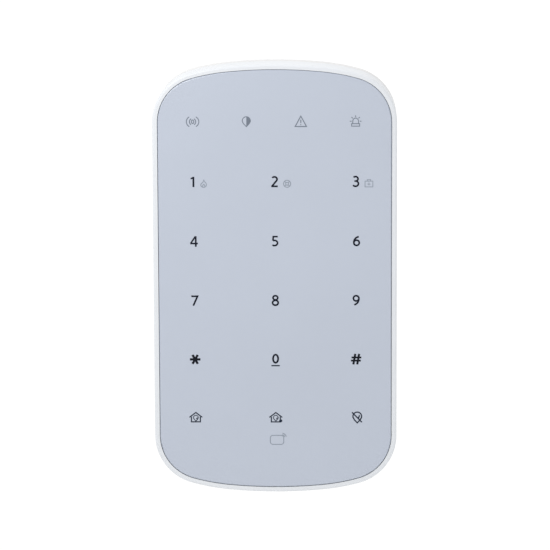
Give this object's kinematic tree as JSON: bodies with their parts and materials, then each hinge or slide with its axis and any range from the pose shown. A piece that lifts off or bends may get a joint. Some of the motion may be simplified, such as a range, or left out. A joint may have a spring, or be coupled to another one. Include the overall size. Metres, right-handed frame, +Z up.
{
  "type": "alarm keypad",
  "caption": "Flat wall-mounted alarm keypad with a pale glass touch panel, a slim white casing and a hook-on wall bracket.",
  "frame": {"origin": "centre of the wall bracket's rear face, on the wall", "axes": "+Z up, +X right as seen from the front, +Y into the wall; the glass faces -Y"},
  "size_m": [0.0864, 0.024, 0.1536],
  "materials": {
    "bracket_plastic": "fine moulded texture",
    "housing_plastic": "fine moulded texture",
    "door_plastic": "fine moulded texture",
    "bezel_plastic": "satin",
    "panel_glass": "polished, printed pale blue-grey on the back",
    "tape": "foam",
    "guide_plastic": "matt",
    "copper": "plated",
    "touch_board": "white solder mask",
    "led": "clear resin",
    "chip_plastic": "moulded resin",
    "ferrite": "matt",
    "cable_film": "satin film",
    "connector_plastic": "moulded",
    "main_board": "green solder mask",
    "tinned_steel": "tinned",
    "sounder_plastic": "moulded",
    "capacitor_sleeve": "shrink sleeve",
    "ceramic_chip": "ceramic",
    "switch_plastic": "moulded",
    "plunger_plastic": "moulded",
    "spring_steel": "drawn wire",
    "switch_metal": "pressed",
    "lever_plastic": "moulded",
    "cell_sleeve": "printed sleeve",
    "nickel": "nickel plated",
    "screw_steel": "zinc plated",
    "brass": "turned",
    "label": "matt film"
  },
  "bodies": {
    "wall_mount": {"wall_bracket": "bracket_plastic", "lock_screw": "screw_steel"},
    "keypad": {"rear_housing": "housing_plastic", "front_bezel": "bezel_plastic", "front_glass": "panel_glass", "lens_tape": "tape", "light_guide": "guide_plastic", "touch_pads": "copper", "touch_board": "touch_board", "backlight_leds": "led", "status_leds": "led", "touch_chip": "chip_plastic", "card_coil": "copper", "ferrite_sheet": "ferrite", "flat_cable": "cable_film", "board_connectors": "connector_plastic", "main_board": "main_board", "controller_chip": "chip_plastic", "card_reader_chip": "chip_plastic", "power_regulator": "chip_plastic", "radio_module": "main_board", "radio_shield": "tinned_steel", "radio_antenna": "tinned_steel", "sounder": "sounder_plastic", "storage_capacitor": "capacitor_sleeve", "small_components": "ceramic_chip", "tamper_switch_body": "switch_plastic", "tamper_spring": "spring_steel", "power_switch_body": "switch_metal", "battery_1": "cell_sleeve", "battery_2": "cell_sleeve", "battery_3": "cell_sleeve", "battery_4": "cell_sleeve", "battery_springs": "spring_steel", "battery_plates": "nickel", "casing_screws": "screw_steel", "board_screws": "screw_steel", "lock_insert": "brass", "rating_label": "label"},
    "battery_door": {"battery_door": "door_plastic"},
    "tamper_plunger": {"tamper_plunger": "plunger_plastic"},
    "power_switch_lever": {"power_switch_lever": "lever_plastic"}
  },
  "joints": [
    {"name": "keypad_lift", "type": "slide", "parent": "wall_mount", "child": "keypad", "axis": [0, 0, 1], "range_m": [0, 0.006]},
    {"name": "battery_door_slide", "type": "slide", "parent": "keypad", "child": "battery_door", "axis": [0, 0, 1], "range_m": [0, 0.005]},
    {"name": "tamper_press", "type": "slide", "parent": "keypad", "child": "tamper_plunger", "axis": [0, -1, 0], "range_m": [0, 0.0012], "stiffness_N_per_m": 150, "springref_m": -0.001, "deforming": ["tamper_spring"]},
    {"name": "power_switch_slide", "type": "slide", "parent": "keypad", "child": "power_switch_lever", "axis": [1, 0, 0], "range_m": [0, 0.002]}
  ]
}
